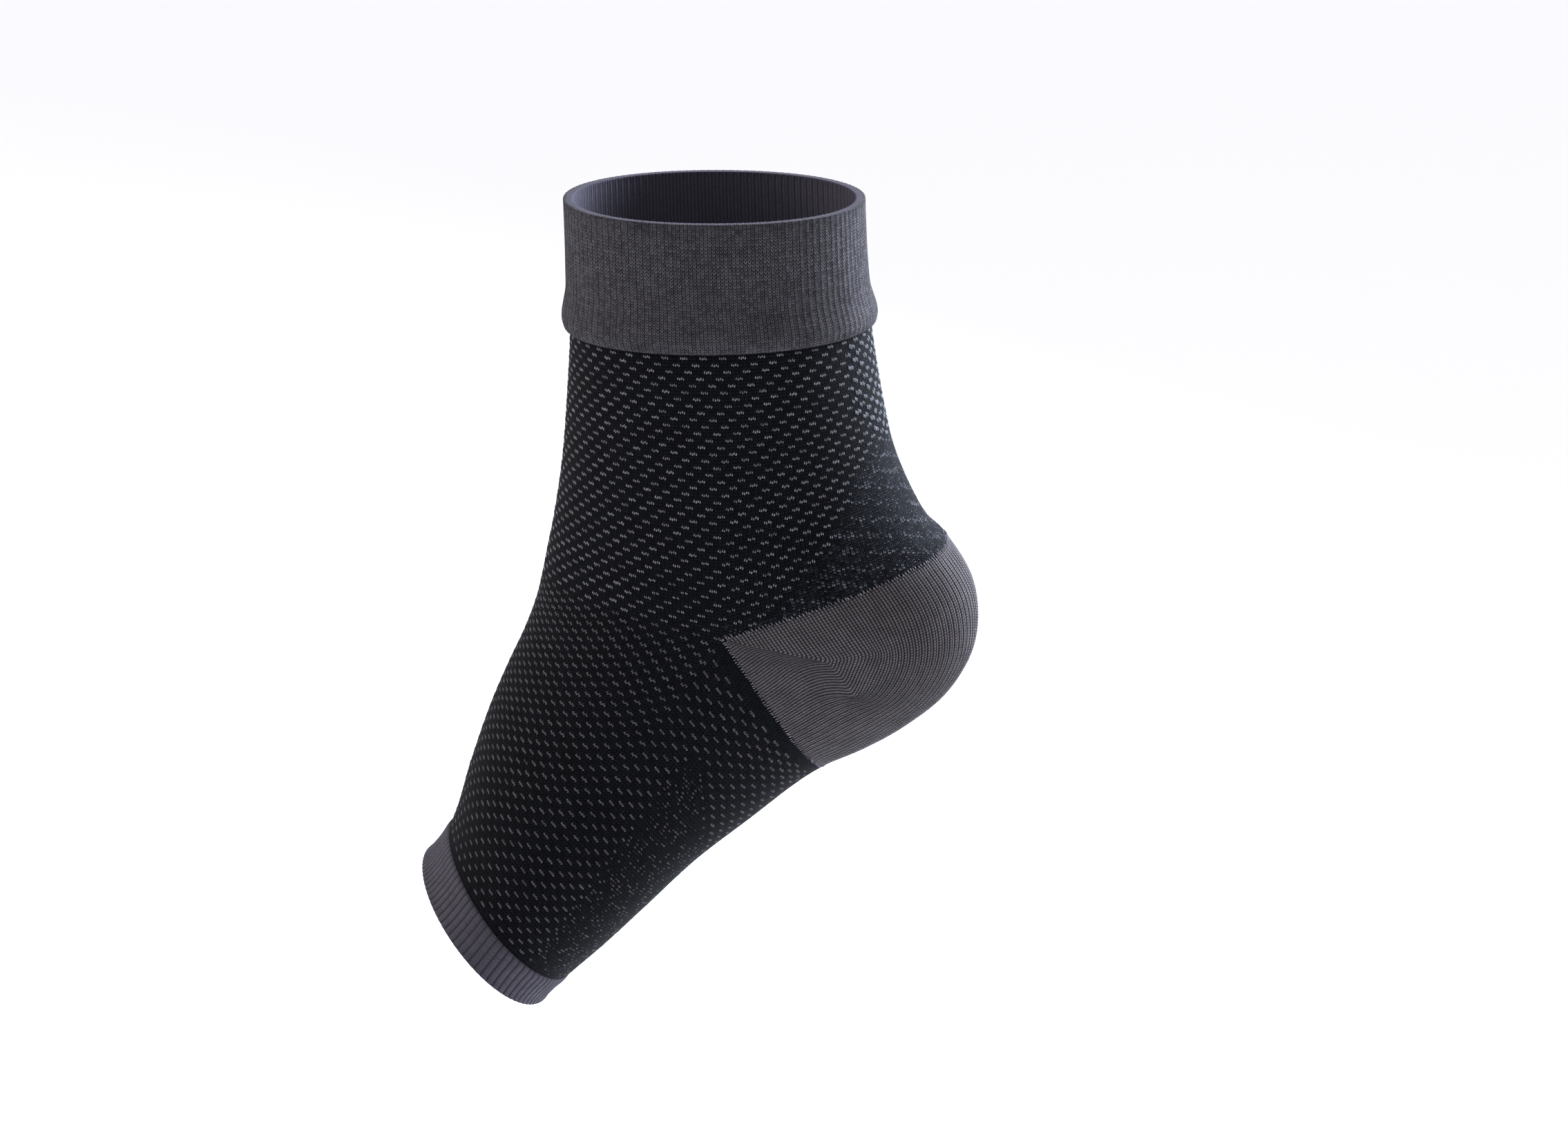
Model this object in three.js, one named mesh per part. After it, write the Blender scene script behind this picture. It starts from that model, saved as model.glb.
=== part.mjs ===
// An open-toed arch support sleeve, knitted as one tube and shaped here as it is when it is worn.
// Four pieces follow each other along the tube: a doubled ribbed cuff round the ankle, the patterned
// leg and foot with the opening for the heel, the turned heel pocket, and a ribbed band at the toes.
// Millimetres and degrees. +Z is up the leg, +X is towards the heel's back, the toes point to -X and
// down, and +Y is the inner side of the foot. The origin lies between the two gore points, where the
// heel pocket's upper and lower seams meet on either side of the ankle.
import * as THREE from "three";

// The leg
const LEG_RISE = 114; // origin up to the cuff's rim
const ANKLE_DEPTH = 82; // front to back, outside
const ANKLE_WIDTH = 68; // side to side, outside

// The foot
const FOOT_REACH = 109.5; // origin to the toe band's end, along the foot
const FOOT_DROP = 35; // the foot's slope below the horizontal
const FOOT_DEPTH = 52.4; // instep to sole at the toe band's seam, outside
const FOOT_WIDTH = 73; // side to side at the toe band's seam, outside

// The heel pocket
const HEEL_REACH = 70.5; // origin to the heel's back, outside
const UPPER_SEAM = 17; // slope of the seam towards the leg, above the horizontal
const LOWER_SEAM = -58; // slope of the seam towards the sole
const GORE_TIP = 1.2; // how far from the gore point the pocket's cloth begins

// The cloth
const WALL = 1.4; // single knitted wall
const SEAM_GAP = 0.3; // clearance between neighbouring pieces

// The cuff, whose outer layer hangs over the top of the leg
const CUFF_HEIGHT = 35; // rim to lower lip
const CUFF_LAYER = 1.2; // thickness of the outer layer
const CUFF_BULGE = 1.1; // how far the roll above the lip swells past the layer
const CUFF_OVERLAP = 6; // how far the outer layer hangs over the leg

// The toe band
const BAND_LENGTH = 10.6; // seam to open end
const BAND_PROUD = 0.35; // its rib stands this far outside the foot's wall
const BAND_FLARE = 0.9; // and this much more at the open end

// How finely the surface is divided
const HALF_COLUMNS = 22; // from one gore line to the other, round the front or the back
const LEG_ROWS = 15;
const HEEL_ROWS = 12;
const FOOT_ROWS = 17;
const FINE_STEPS = 96; // steps along a half section before it is spaced out evenly
const RIM_STEPS = 6; // steps round the cuff's folded rim

const RADIANS = Math.PI / 180;
const ARCH_SCALE = 27 / 4; // makes the hump t * t * (1 - t) one high

// Turns rows of numbers under column names into objects.
function table(columns, ...rows) {
  return rows.map((row) => Object.fromEntries(columns.map((column, i) => [column, row[i]])));
}

// Each row is one course of the knitting, from the rim down to just above the gore. Lengths along Z are
// shares of LEG_RISE, along X of ANKLE_DEPTH, and half is the half width as a share of ANKLE_WIDTH. up
// and mid place the side points, front and back reach to the outline, and frontLift and backLift say how
// much higher than the side points the course crosses it. Full 2 is an ellipse, and more is squarer.
const LEG = table(
  ["up", "mid", "front", "frontLift", "back", "backLift", "half", "frontFull", "backFull"],
  [1.0, -0.024, 0.505, 0.0, 0.456, 0.0, 0.5, 2.1, 2.1],
  [0.84, -0.018, 0.502, 0.0, 0.468, 0.0, 0.5, 2.1, 2.1],
  [0.69, -0.006, 0.502, -0.006, 0.49, 0.008, 0.5, 2.1, 2.05],
  [0.53, 0.0, 0.514, 0.006, 0.522, 0.018, 0.49, 2.1, 2.0],
  [0.35, 0.0, 0.534, 0.02, 0.567, 0.05, 0.488, 2.05, 1.95],
  [0.175, 0.0, 0.566, 0.046, 0.638, 0.099, 0.497, 2.0, 2.05],
  [0.075, 0.0, 0.588, 0.07, 0.69, 0.135, 0.497, 2.0, 2.2],
);

// The front of the course through the gore, under the same columns
const [GORE] = table(
  ["up", "mid", "front", "frontLift", "half", "frontFull"],
  [0.0, 0.0, 0.605, 0.085, 0.493, 2.0],
);

// The heel's outline from the upper seam to the lower one, in equal turns about the origin. reach is a
// share of HEEL_REACH.
const HEEL = table(
  ["reach", "full"],
  [0.914, 2.3],
  [0.985, 2.45],
  [0.998, 2.5],
  [0.95, 2.5],
  [0.868, 2.5],
  [0.8, 2.5],
  [0.757, 2.5],
);

// Each row is one course from the gore to the toes. Places along the foot are shares of FOOT_REACH,
// places across it from instep to sole are shares of FOOT_DEPTH, and half is a share of FOOT_WIDTH.
// side places the side points, top the instep's crest and sole the sole. crest moves the instep's
// ridge to the inner side, as a share of FOOT_WIDTH, and arch lifts the inner sole, as a share of
// the sole's reach.
const FOOT = table(
  [
    ...["sideAlong", "side", "topAlong", "top", "soleAlong", "sole"],
    ...["half", "topFull", "soleFull", "crest", "arch"],
  ],
  [0.137, 0.107, 0.378, -0.588, 0.113, 1.01, 0.455, 2.0, 2.5, 0.01, 0.06],
  [0.274, 0.214, 0.452, -0.479, 0.252, 1.029, 0.455, 1.95, 2.5, 0.03, 0.14],
  [0.438, 0.344, 0.554, -0.353, 0.429, 1.05, 0.466, 1.95, 2.5, 0.05, 0.18],
  [0.603, 0.471, 0.661, -0.212, 0.598, 1.105, 0.486, 2.0, 2.45, 0.05, 0.13],
  [0.758, 0.592, 0.781, -0.031, 0.742, 1.156, 0.497, 2.05, 2.3, 0.045, 0.06],
  [0.903, 0.697, 0.926, 0.197, 0.88, 1.197, 0.496, 2.0, 2.1, 0.035, 0.02],
  [1.0, 0.758, 1.035, 0.285, 0.971, 1.219, 0.504, 2.0, 2.0, 0.03, 0.01],
);

// The outer layer of the cuff below its rim. down is a share of CUFF_HEIGHT, and the face stands
// layer times CUFF_LAYER plus roll times CUFF_BULGE outside the leg.
const CUFF_FACE = table(
  ["down", "layer", "roll"],
  [0.3, 0.9, 0.0],
  [0.55, 0.9, 0.0],
  [0.7, 1.0, 0.0],
  [0.79, 1.0, 0.55],
  [0.87, 1.0, 1.0],
  [0.93, 1.0, 0.94],
  [0.975, 0.85, 0.65],
);

// The toe band's outer face from the seam to the open end. down is a share of BAND_LENGTH, rib a share
// of BAND_PROUD and flare a share of BAND_FLARE.
const BAND_FACE = table(
  ["down", "rib", "flare"],
  [0.0, 0.0, 0.0],
  [0.06, 1.0, 0.0],
  [0.35, 1.0, 0.12],
  [0.65, 1.0, 0.42],
  [0.93, 1.0, 0.86],
  [1.0, 0.4, 0.8],
);

// Directions in the plane of symmetry, as (x, z)
const dropAngle = FOOT_DROP * RADIANS;
const alongFoot = new THREE.Vector2(-Math.cos(dropAngle), -Math.sin(dropAngle));
const towardsSole = new THREE.Vector2(Math.sin(dropAngle), -Math.cos(dropAngle));

// The place (x, z) of a point on the foot, from its shares along and across it.
function footPlace(along, across) {
  return alongFoot
    .clone()
    .multiplyScalar(along * FOOT_REACH)
    .addScaledVector(towardsSole, across * FOOT_DEPTH);
}

// The place (x, z) of a point at a distance and a slope from the origin.
function polarPlace(distance, degrees) {
  const turn = degrees * RADIANS;
  return new THREE.Vector2(Math.cos(turn), Math.sin(turn)).multiplyScalar(distance);
}

// A smooth curve through rows of numbers, one row at each position.
function smoothRows(positions, rows) {
  const curve = new THREE.CubicInterpolant(positions, rows.flat(), rows[0].length);
  return (position) => Array.from(curve.evaluate(position));
}

// A station is minus the height of the side points on the leg, 0 at the gore, and the distance along
// the foot below it. The front of the tube runs straight through the gore.
const legStations = LEG.map((row) => -row.up * LEG_RISE);
const footStations = FOOT.map((row) => row.sideAlong * FOOT_REACH);
const frontOfLeg = [...LEG, GORE].map((row) => [
  row.mid * ANKLE_DEPTH,
  row.up * LEG_RISE,
  -row.front * ANKLE_DEPTH,
  (row.up + row.frontLift) * LEG_RISE,
  row.half * ANKLE_WIDTH,
  row.frontFull,
  0,
]);
const frontOfFoot = FOOT.map((row) => [
  ...footPlace(row.sideAlong, row.side),
  ...footPlace(row.topAlong, row.top),
  row.half * FOOT_WIDTH,
  row.topFull,
  row.crest * FOOT_WIDTH,
]);
const frontRows = smoothRows([...legStations, 0, ...footStations], [...frontOfLeg, ...frontOfFoot]);

// The back of the tube goes round the heel between the leg and the foot.
const heelTurn = (UPPER_SEAM - LOWER_SEAM) / (HEEL.length - 1);
const HEEL_ARC = HEEL_REACH * heelTurn * RADIANS * (HEEL.length - 1);
const heelStations = HEEL.map((row, i) => (HEEL_ARC * i) / (HEEL.length - 1));
const backOfLeg = LEG.map((row) => [
  row.back * ANKLE_DEPTH,
  (row.up + row.backLift) * LEG_RISE,
  row.backFull,
  0,
]);
const backOfHeel = HEEL.map((row, i) => [
  ...polarPlace(row.reach * HEEL_REACH, UPPER_SEAM - heelTurn * i),
  row.full,
  0,
]);
const backOfFoot = FOOT.map((row) => [...footPlace(row.soleAlong, row.sole), row.soleFull, row.arch]);
const backRows = smoothRows(
  [...legStations, ...heelStations, ...footStations.map((s) => HEEL_ARC + s)],
  [...backOfLeg, ...backOfHeel, ...backOfFoot],
);

// Half a section as a superellipse, from one side point to the other in equal steps. Each point has its
// place along the reach and across the width, and the outward normal there.
function halfSection({ reach, half, full, crest, arch, count }) {
  const fine = [];
  for (let i = 0; i <= FINE_STEPS; i++) {
    const turn = (Math.PI * i) / FINE_STEPS - Math.PI / 2;
    const share = Math.cos(turn) < 1e-9 ? 0 : Math.cos(turn) ** (2 / full);
    const side = Math.sign(Math.sin(turn)) * Math.abs(Math.sin(turn)) ** (2 / full);
    const inner = Math.max(0, side);
    const lift = 1 - arch * ARCH_SCALE * inner ** 2 * (1 - inner);
    fine.push(new THREE.Vector2(share * reach * lift, side * half + crest * share));
  }
  const lengths = [0];
  for (let i = 1; i < fine.length; i++) {
    lengths.push(lengths[i - 1] + fine[i].distanceTo(fine[i - 1]));
  }
  const normals = fine.map((point, i) => {
    if (i === 0 || i === FINE_STEPS) return new THREE.Vector2(0, Math.sign(point.y));
    const step = fine[i + 1].clone().sub(fine[i - 1]).normalize();
    return new THREE.Vector2(step.y, -step.x);
  });
  const spaced = [];
  for (let k = 0, i = 0; k <= count; k++) {
    const wanted = (lengths[FINE_STEPS] * k) / count;
    while (i < FINE_STEPS - 1 && lengths[i + 1] < wanted) i++;
    const part = (wanted - lengths[i]) / (lengths[i + 1] - lengths[i]);
    spaced.push({
      place: fine[i].clone().lerp(fine[i + 1], part),
      normal: normals[i].clone().lerp(normals[i + 1], part).normalize(),
    });
  }
  return spaced;
}

// Puts a half section into space. It hangs between the side points at hinge, and its middle points at end.
function placeHalf(section, hinge, end, proud) {
  const out = end.clone().sub(hinge).normalize();
  return section.map(({ place, normal }) => {
    const flat = place.clone().addScaledVector(normal, proud);
    return new THREE.Vector3(hinge.x + flat.x * out.x, flat.y, hinge.y + flat.x * out.y);
  });
}

// The front half of a course, from the outer side point round the front to the inner one.
function frontHalf(station, proud) {
  const [hingeX, hingeZ, endX, endZ, half, full, crest] = frontRows(station);
  const hinge = new THREE.Vector2(hingeX, hingeZ);
  const end = new THREE.Vector2(endX, endZ);
  const shape = { reach: end.distanceTo(hinge), half, full, crest, arch: 0, count: HALF_COLUMNS };
  return placeHalf(halfSection(shape), hinge, end, proud);
}

// The back half of a course, from the inner side point round the back to the outer one. backStation
// counts the heel's arc too.
function backHalf(station, backStation, proud) {
  const [hingeX, hingeZ, , , half] = frontRows(station);
  const [endX, endZ, full, arch] = backRows(backStation);
  const hinge = new THREE.Vector2(hingeX, hingeZ);
  const end = new THREE.Vector2(endX, endZ);
  const shape = { reach: end.distanceTo(hinge), half, full, crest: 0, arch, count: HALF_COLUMNS };
  return placeHalf(halfSection(shape), hinge, end, proud).reverse();
}

// A whole course as a ring of points, outside the tube's outer face by proud.
function ring(station, proud) {
  const backStation = station > 0 ? HEEL_ARC + station : station;
  const front = frontHalf(station, proud);
  const back = backHalf(station, backStation, proud);
  return [...front.slice(0, -1), ...back.slice(0, -1)];
}

// Collects points and four-sided faces into one closed surface.
class Skin {
  points = [];
  faces = [];

  addRow(row) {
    return row.map((point) => this.points.push(point) - 1);
  }

  quad(a, b, c, d) {
    this.faces.push(a, b, c, a, c, d);
  }

  // Faces between two rows of point numbers. The first row is the upper one on an outer face.
  strip(upper, lower, first = 0, last = upper.length - 1) {
    for (let i = first; i < last; i++) {
      const next = (i + 1) % upper.length;
      this.quad(upper[i], upper[next], lower[next], lower[i]);
    }
  }

  geometry() {
    const shape = new THREE.BufferGeometry().setFromPoints(this.points);
    shape.setIndex(this.faces);
    const flat = shape.toNonIndexed();
    flat.computeVertexNormals();
    return flat;
  }
}

// A solid ring whose cross-section is a closed profile of [station, proud], given down the outer face
// and back up the inner one.
function ringSolid(profile) {
  const skin = new Skin();
  const rows = profile.map(([station, proud]) => skin.addRow(ring(station, proud)));
  rows.forEach((row, i) => skin.strip(row, rows[(i + 1) % rows.length], 0, row.length));
  return skin.geometry();
}

// The cuff: the knitting runs up inside, folds over the rim and hangs down outside to a rolled lip.
function cuffGeometry() {
  const rim = -LEG_RISE;
  const lip = rim + CUFF_HEIGHT;
  const seat = lip - CUFF_OVERLAP - SEAM_GAP; // the leg's top edge comes up to just below here
  const middle = (CUFF_LAYER - WALL) / 2;
  const rimRadius = (CUFF_LAYER + WALL) / 2;
  const profile = [];
  for (let i = 1; i <= RIM_STEPS; i++) {
    const turn = (Math.PI * i) / RIM_STEPS;
    profile.push([rim + rimRadius * (1 - Math.sin(turn)), middle - rimRadius * Math.cos(turn)]);
  }
  for (const { down, layer, roll } of CUFF_FACE) {
    profile.push([rim + CUFF_HEIGHT * down, CUFF_LAYER * layer + CUFF_BULGE * roll]);
  }
  profile.push([lip, SEAM_GAP + CUFF_LAYER / 3]);
  profile.push([lip - CUFF_LAYER / 3, SEAM_GAP]);
  profile.push([seat, SEAM_GAP]);
  profile.push([seat, -WALL]);
  profile.push([(rim + seat) / 2, -WALL]);
  profile.push([rim + rimRadius, -WALL]);
  return ringSolid(profile);
}

// The patterned leg and foot: one wall from under the cuff to the toe band, open where the heel
// pocket goes in.
function bodyGeometry() {
  const top = -LEG_RISE + CUFF_HEIGHT - CUFF_OVERLAP;
  const end = FOOT_REACH - BAND_LENGTH;
  const skin = new Skin();
  const walls = [0, -WALL].map((proud) => {
    const leg = [];
    for (let r = 0; r <= LEG_ROWS; r++) {
      leg.push(skin.addRow(ring(top * (1 - r / LEG_ROWS), proud)));
    }
    const gore = leg[LEG_ROWS];
    const soleSide = skin.addRow(backHalf(0, HEEL_ARC, proud).slice(1, -1));
    const firstFoot = [...gore.slice(0, HALF_COLUMNS + 1), ...soleSide];
    const foot = [firstFoot];
    for (let r = 1; r <= FOOT_ROWS; r++) {
      foot.push(skin.addRow(ring((end * r) / FOOT_ROWS, proud)));
    }
    return { leg, foot };
  });
  const [outer, inner] = walls;
  for (const part of ["leg", "foot"]) {
    for (let r = 0; r + 1 < outer[part].length; r++) {
      skin.strip(outer[part][r], outer[part][r + 1], 0, 2 * HALF_COLUMNS);
      skin.strip(inner[part][r + 1], inner[part][r], 0, 2 * HALF_COLUMNS);
    }
  }
  const whole = [0, 2 * HALF_COLUMNS];
  const round = [HALF_COLUMNS, 2 * HALF_COLUMNS];
  skin.strip(inner.leg[0], outer.leg[0], ...whole);
  skin.strip(outer.foot[FOOT_ROWS], inner.foot[FOOT_ROWS], ...whole);
  skin.strip(outer.leg[LEG_ROWS], inner.leg[LEG_ROWS], ...round);
  skin.strip(inner.foot[0], outer.foot[0], ...round);
  return skin.geometry();
}

// The heel pocket: courses that turn about the gore points, a seam's gap inside the opening.
function heelGeometry() {
  const [, , , , half] = frontRows(0);
  const skin = new Skin();
  const arcPerRadian = HEEL_ARC / ((UPPER_SEAM - LOWER_SEAM) * RADIANS);
  const grid = (proud) => {
    const rows = [];
    for (let r = 0; r <= HEEL_ROWS; r++) {
      const share = r / HEEL_ROWS;
      const [endX, endZ, full] = backRows(HEEL_ARC * share);
      const reach = Math.hypot(endX, endZ);
      const section = halfSection({ reach, half, full, crest: 0, arch: 0, count: HALF_COLUMNS }).reverse();
      const row = section.map(({ place, normal }) => {
        // Near the gore the gap takes up more of the turn, and the cloth starts at its tip.
        const distance = Math.max(place.x, GORE_TIP);
        const inset = Math.asin(SEAM_GAP / distance) * arcPerRadian;
        const [x, z] = backRows(THREE.MathUtils.lerp(inset, HEEL_ARC - inset, share));
        const out = new THREE.Vector2(x, z).normalize();
        const along = Math.max(place.x + normal.x * proud, GORE_TIP);
        return new THREE.Vector3(along * out.x, place.y + normal.y * proud, along * out.y);
      });
      rows.push(skin.addRow(row));
    }
    return rows;
  };
  const outer = grid(0);
  const inner = grid(-WALL);
  for (let r = 0; r < HEEL_ROWS; r++) {
    skin.strip(outer[r], outer[r + 1]);
    skin.strip(inner[r + 1], inner[r]);
    skin.quad(outer[r][0], outer[r + 1][0], inner[r + 1][0], inner[r][0]);
    skin.quad(
      ...[outer[r + 1], outer[r], inner[r], inner[r + 1]].map((row) => row[HALF_COLUMNS]),
    );
  }
  skin.strip(inner[0], outer[0]);
  skin.strip(outer[HEEL_ROWS], inner[HEEL_ROWS]);
  return skin.geometry();
}

// The toe band: a ribbed ring a seam's gap below the foot's last course, flared at its open end.
function bandGeometry() {
  const start = FOOT_REACH - BAND_LENGTH + SEAM_GAP;
  const length = BAND_LENGTH - SEAM_GAP;
  const face = BAND_FACE.map(({ down, rib, flare }) => [
    start + length * down,
    BAND_PROUD * rib + BAND_FLARE * flare,
  ]);
  const inside = [...face].reverse().map(([station, proud]) => [station, proud - WALL]);
  return ringSolid([...face, ...inside]);
}

const greyRib = new THREE.MeshStandardMaterial({ color: 0x5a565a, roughness: 0.9, metalness: 0 });
const blackKnit = new THREE.MeshStandardMaterial({ color: 0x1b1b20, roughness: 0.92, metalness: 0 });
const greyHeel = new THREE.MeshStandardMaterial({ color: 0x615c5f, roughness: 0.9, metalness: 0 });
const greyBand = new THREE.MeshStandardMaterial({ color: 0x504d55, roughness: 0.9, metalness: 0 });

const pieces = [
  ["ankle_cuff", cuffGeometry(), greyRib],
  ["sleeve_body", bodyGeometry(), blackKnit],
  ["heel_pocket", heelGeometry(), greyHeel],
  ["toe_band", bandGeometry(), greyBand],
];

const sleeve = new THREE.Group();
for (const [name, geometry, material] of pieces) {
  const mesh = new THREE.Mesh(geometry, material);
  mesh.name = name;
  sleeve.add(mesh);
}

export default sleeve;
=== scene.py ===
import math

import bmesh
import bpy
import numpy as np
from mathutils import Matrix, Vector


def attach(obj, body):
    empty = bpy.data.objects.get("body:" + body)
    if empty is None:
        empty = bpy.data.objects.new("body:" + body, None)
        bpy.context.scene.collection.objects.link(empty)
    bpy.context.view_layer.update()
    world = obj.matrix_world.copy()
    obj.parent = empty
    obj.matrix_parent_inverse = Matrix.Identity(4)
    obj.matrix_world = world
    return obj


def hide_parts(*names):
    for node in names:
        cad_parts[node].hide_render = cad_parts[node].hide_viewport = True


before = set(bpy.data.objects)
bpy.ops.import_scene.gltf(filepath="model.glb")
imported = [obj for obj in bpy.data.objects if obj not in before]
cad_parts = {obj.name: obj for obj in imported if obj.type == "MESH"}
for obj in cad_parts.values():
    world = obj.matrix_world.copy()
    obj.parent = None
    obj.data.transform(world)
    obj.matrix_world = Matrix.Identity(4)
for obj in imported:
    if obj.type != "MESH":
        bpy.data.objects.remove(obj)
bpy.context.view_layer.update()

# Each cloth is one mesh, whose UV map "knit" counts wales and courses, and its material draws the
# stitches by those counts. The pale stitches are raised ones, set on the cloth one by one.

# The sleeve's form, in millimetres and degrees, with the values that the solids have. +Z goes up the
# leg, +X to the back of the heel and +Y to the inner side of the foot.
LEG_RISE = 114.0
ANKLE_DEPTH = 82.0
ANKLE_WIDTH = 68.0
FOOT_REACH = 109.5
FOOT_DROP = 35.0
FOOT_DEPTH = 52.4
FOOT_WIDTH = 73.0
HEEL_REACH = 70.5
UPPER_SEAM = 17.0
LOWER_SEAM = -58.0
GORE_TIP = 1.2
WALL = 1.4
SEAM_GAP = 0.3
CUFF_HEIGHT = 35.0
CUFF_LAYER = 1.2
CUFF_BULGE = 1.1
CUFF_OVERLAP = 6.0
BAND_LENGTH = 10.6
BAND_PROUD = 0.35
BAND_FLARE = 0.9
ARCH_SCALE = 27 / 4
FINE_STEPS = 144

# The knitting: the tube has 230 wales, all the way round and from end to end.
HALF_WALES = 115
COURSE = 0.95  # millimetres from one course to the next, down the side
RIB_STEPS = 6  # mesh columns across a rib
TOE_RIBS = 87
UPPER_WALE = 1.87  # millimetres from wale to wale along the heel's upper seam
LOWER_WALE = 1.64
HEEL_COURSE = 0.8
CUFF_COURSE = 0.74
BAND_COURSE = 0.8
HEEL_WALES = 43  # from the gore to the back of the heel
CUFF_RELIEF = 0.2  # how deep the valleys between ribs are
BAND_RELIEF = 0.17
HEEL_RELIEF = 0.22
PATTERN_WALES = 5  # a pair of pale wales comes once in so many
ROW_SHIFT = 2  # wales from a pair to the one in the next row

# up, mid, front, front lift, back, back lift, half, front fullness, back fullness
LEG = [
    (1.0, -0.024, 0.505, 0.0, 0.456, 0.0, 0.5, 2.1, 2.1),
    (0.84, -0.018, 0.502, 0.0, 0.468, 0.0, 0.5, 2.1, 2.1),
    (0.69, -0.006, 0.502, -0.006, 0.49, 0.008, 0.5, 2.1, 2.05),
    (0.53, 0.0, 0.514, 0.006, 0.522, 0.018, 0.49, 2.1, 2.0),
    (0.35, 0.0, 0.534, 0.02, 0.567, 0.05, 0.488, 2.05, 1.95),
    (0.175, 0.0, 0.566, 0.046, 0.638, 0.099, 0.497, 2.0, 2.05),
    (0.075, 0.0, 0.588, 0.07, 0.69, 0.135, 0.497, 2.0, 2.2),
]
# The course through the gore points: up, mid, front, front lift, half, front fullness
GORE = (0.0, 0.0, 0.605, 0.085, 0.493, 2.0)
# reach, fullness
HEEL = [
    (0.914, 2.3),
    (0.985, 2.45),
    (0.998, 2.5),
    (0.95, 2.5),
    (0.868, 2.5),
    (0.8, 2.5),
    (0.757, 2.5),
]
# side along, side, top along, top, sole along, sole, half, top fullness, sole fullness, crest, arch
FOOT = [
    (0.137, 0.107, 0.378, -0.588, 0.113, 1.01, 0.455, 2.0, 2.5, 0.01, 0.06),
    (0.274, 0.214, 0.452, -0.479, 0.252, 1.029, 0.455, 1.95, 2.5, 0.03, 0.14),
    (0.438, 0.344, 0.554, -0.353, 0.429, 1.05, 0.466, 1.95, 2.5, 0.05, 0.18),
    (0.603, 0.471, 0.661, -0.212, 0.598, 1.105, 0.486, 2.0, 2.45, 0.05, 0.13),
    (0.758, 0.592, 0.781, -0.031, 0.742, 1.156, 0.497, 2.05, 2.3, 0.045, 0.06),
    (0.903, 0.697, 0.926, 0.197, 0.88, 1.197, 0.496, 2.0, 2.1, 0.035, 0.02),
    (1.0, 0.758, 1.035, 0.285, 0.971, 1.219, 0.504, 2.0, 2.0, 0.03, 0.01),
]
# down, layer, roll
CUFF_FACE = [
    (0.3, 0.9, 0.0),
    (0.55, 0.9, 0.0),
    (0.7, 1.0, 0.0),
    (0.79, 1.0, 0.55),
    (0.87, 1.0, 1.0),
    (0.93, 1.0, 0.94),
    (0.975, 0.85, 0.65),
]
# down, rib, flare
BAND_FACE = [
    (0.0, 0.0, 0.0),
    (0.06, 1.0, 0.0),
    (0.35, 1.0, 0.12),
    (0.65, 1.0, 0.42),
    (0.93, 1.0, 0.86),
    (1.0, 0.4, 0.8),
]

# Zones of the pattern, as (x, z) in the plane of symmetry. Above the heel the pairs of pale stitches
# stop at DOTS_EDGE, and fine dots fill the corner behind it. Tufts cover the back of the leg down to
# TUFT_FOOT. Below ARCH_APEX a wedge that widens to the toes has only specks, and a strip beside the
# heel's lower seam is bare.
DOTS_EDGE = [
    (3.0, 3.0), (6.7, 3.5), (16.2, 7.1), (25.0, 19.4), (31.9, 30.2), (36.7, 41.5), (45.0, 52.0)
]
PLATING_STRAY = 2.0  # how far the grey yarn strays over that edge
TUFT_FOOT = 49.0
TUFT_RISE = 11.0  # the height over which the tufts spread out
TUFT_SPREAD = (8, 21)  # from so many wales on each side to so many
ARCH_APEX = (-9.5, -34.0)
ARCH_FRONT = 0.73
ARCH_BACK = -5.5
BARE_STRIP = 4.5
THIN_PAIRS = (-12.0, 12.0)  # the pairs are thinner round here, where the ankle stretches the cloth
THIN_REACH = 14.0
THIN_SHARE = 0.25
FOOT_SHRINK = 0.92  # and all over the foot
SHRINK_LENGTH = 25.0
FOOT_SLIDE = 0.5  # wales that each row of pairs moves on by along the foot, besides ROW_SHIFT
SOLE_SPECKS = 0.93  # past this share of the way from the side down to the sole there are only specks
DOT_ROW = 4.6  # from one bright row of dots to the next
DOT_DIP = 0.3  # how steeply the rows dip towards the back
# How likely a dot is, and its smallest and largest size, over the five bands of a row.
DOT_BANDS = [
    (0.6, 0.6, 0.95),
    (0.6, 0.45, 0.75),
    (0.4, 0.3, 0.55),
    (0.4, 0.35, 0.6),
    (0.4, 0.3, 0.55),
]
SPECKS_KEPT = 0.3
STITCH_SIZES = {"pair": (0.92, 1.1), "tuft": (1.0, 1.35), "specks": (0.4, 0.8)}
STITCH_TURN = 0.07  # how far a stitch leans off its wale at random
STITCH_LIFT = 0.05  # how far its middle stands off the cloth
TUFT_STRAY = (0.12, 0.15)  # how far a tuft lies off its place, across and along the wale

# The heel's first wales have one kink. From wale 11.3 on it parts into an upper and a lower one, up to
# wale 17.4, and the wales after that run ever more evenly. Rows: wale, distance from the gore, slope.
# KINK_LEAVE is the slope at which a wale leaves its lower kink, and SQUARE_LEAVE the one at which it
# comes to the lower seam.
UPPER_KINKS = [(0, 0.0, -12.5), (11.3, 29.3, -12.0), (17.4, 41.4, -7.5)]
LOWER_KINKS = [(0, 0.0, -12.5), (11.3, 29.3, -14.0), (17.4, 40.2, -26.8)]
KINK_LEAVE = [(0, 12.0), (11.3, -4.0), (17.4, -17.0)]
SQUARE_LEAVE = 32.0
PULL = 0.45  # how far those slopes hold, as a share of the way
PATH_STEPS = (36, 12, 50)  # points to the upper kink, to the lower one and to the lower seam
SMOOTHINGS = 150  # rounds of smoothing, of which the first three take in the kinked wales too
ROUNDED_AFTER = 9  # wales past the last kink that the smoothing draws back by
KINKS_SOFTENED = 3


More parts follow.
